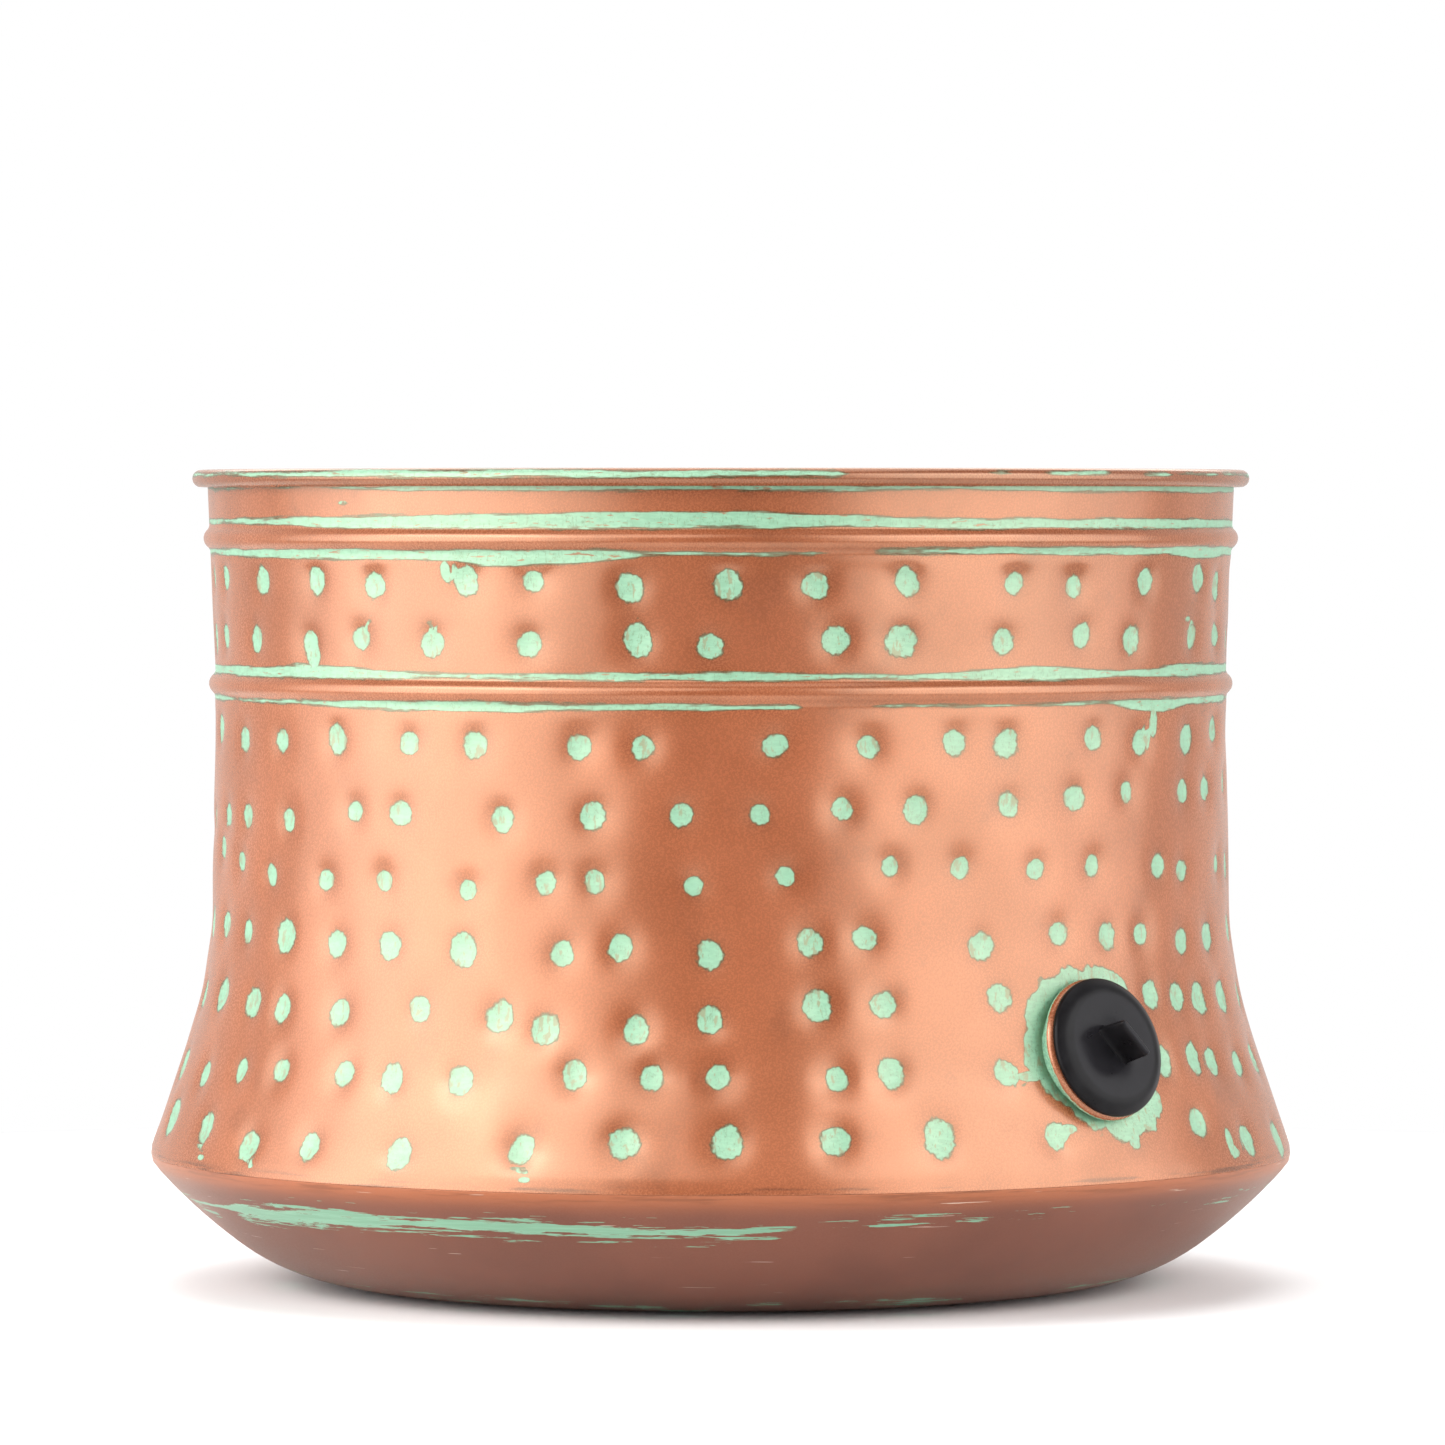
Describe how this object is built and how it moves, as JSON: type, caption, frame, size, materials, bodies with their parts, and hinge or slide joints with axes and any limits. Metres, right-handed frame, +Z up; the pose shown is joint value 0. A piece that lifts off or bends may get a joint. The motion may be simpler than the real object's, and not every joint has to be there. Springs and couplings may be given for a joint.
{
  "type": "garden hose pot",
  "caption": "Round open-topped metal pot with a hammered flaring wall, rolled rim and bowl base; holds a coiled garden hose, with a plugged port low in the wall.",
  "frame": {"origin": "centre of the flat underside, the middle of the model's footprint", "axes": "+Z up along the pot's axis; front is -Y; the hose port faces 42 degrees from the front towards +X"},
  "size_m": [0.449, 0.449, 0.3196],
  "materials": {
    "hammered_metal": "satin",
    "bowl_metal": "satin",
    "wire_steel": "satin",
    "collar_metal": "satin",
    "ring_steel": "satin",
    "plug_rubber": "matte"
  },
  "bodies": {
    "pot": {"side_wall": "hammered_metal", "base_bowl": "bowl_metal", "rim_wire": "wire_steel", "port_collar": "collar_metal", "port_backing_ring": "ring_steel"},
    "plug": {"port_plug": "plug_rubber"}
  },
  "joints": [
    {"name": "plug_pull", "type": "slide", "parent": "pot", "child": "plug", "axis": [0.6416, -0.7125, 0.284], "range_m": [0, 0.06]}
  ]
}
